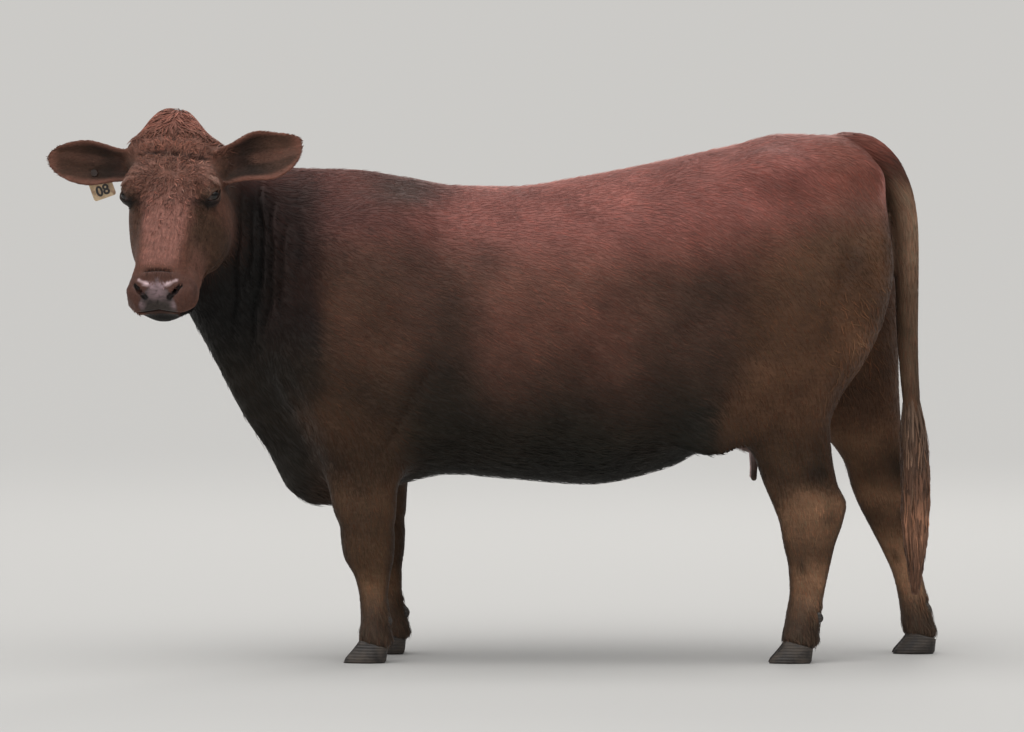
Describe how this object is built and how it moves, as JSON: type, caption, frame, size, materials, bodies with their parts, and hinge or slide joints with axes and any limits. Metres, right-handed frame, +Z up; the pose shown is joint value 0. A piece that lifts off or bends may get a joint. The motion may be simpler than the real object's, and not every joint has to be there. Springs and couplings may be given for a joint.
{
  "type": "polled beef cow",
  "caption": "Life-size still model of a hornless red-brown beef cow standing square on its hooves, head turned to its left, long tail hanging, tag in one ear.",
  "frame": {"origin": "on the floor plane under her soles, below the middle of her bounding box in X and Y", "axes": "+X from her head toward her tail, +Y from her left side toward her right side, +Z up"},
  "size_m": [2.2758, 0.8674, 1.4096],
  "materials": {
    "coat": "short red-brown hair",
    "dark_coat": "short dark brown hair",
    "switch_hair": "long orange-brown hair",
    "muzzle_skin": "bare moist skin",
    "udder_skin": "bare pink skin",
    "hoof_horn": "dark horn",
    "eye": "wet, dark",
    "tag_plastic": "moulded, cream"
  },
  "bodies": {
    "root": {"barrel": "coat", "brisket": "coat", "ear_left": "coat", "ear_right": "coat", "ear_tag": "tag_plastic", "ear_tag_stud": "tag_plastic", "eye_left": "eye", "eye_right": "eye", "fore_cannon_left": "dark_coat", "fore_cannon_right": "dark_coat", "fore_inner_claw_left": "hoof_horn", "fore_inner_claw_right": "hoof_horn", "fore_inner_dewclaw_left": "hoof_horn", "fore_inner_dewclaw_right": "hoof_horn", "fore_outer_claw_left": "hoof_horn", "fore_outer_claw_right": "hoof_horn", "fore_outer_dewclaw_left": "hoof_horn", "fore_outer_dewclaw_right": "hoof_horn", "fore_pastern_left": "dark_coat", "fore_pastern_right": "dark_coat", "forearm_left": "coat", "forearm_right": "coat", "gaskin_left": "coat", "gaskin_right": "coat", "head": "coat", "hind_cannon_left": "dark_coat", "hind_cannon_right": "dark_coat", "hind_inner_claw_left": "hoof_horn", "hind_inner_claw_right": "hoof_horn", "hind_inner_dewclaw_left": "hoof_horn", "hind_inner_dewclaw_right": "hoof_horn", "hind_outer_claw_left": "hoof_horn", "hind_outer_claw_right": "hoof_horn", "hind_outer_dewclaw_left": "hoof_horn", "hind_outer_dewclaw_right": "hoof_horn", "hind_pastern_left": "dark_coat", "hind_pastern_right": "dark_coat", "hindquarters": "coat", "lower_jaw": "coat", "muzzle": "muzzle_skin", "neck": "coat", "shoulders": "coat", "tail": "coat", "tail_switch": "switch_hair", "teat_front_left": "udder_skin", "teat_front_right": "udder_skin", "teat_rear_left": "udder_skin", "teat_rear_right": "udder_skin", "udder": "udder_skin"}
  },
  "joints": []
}
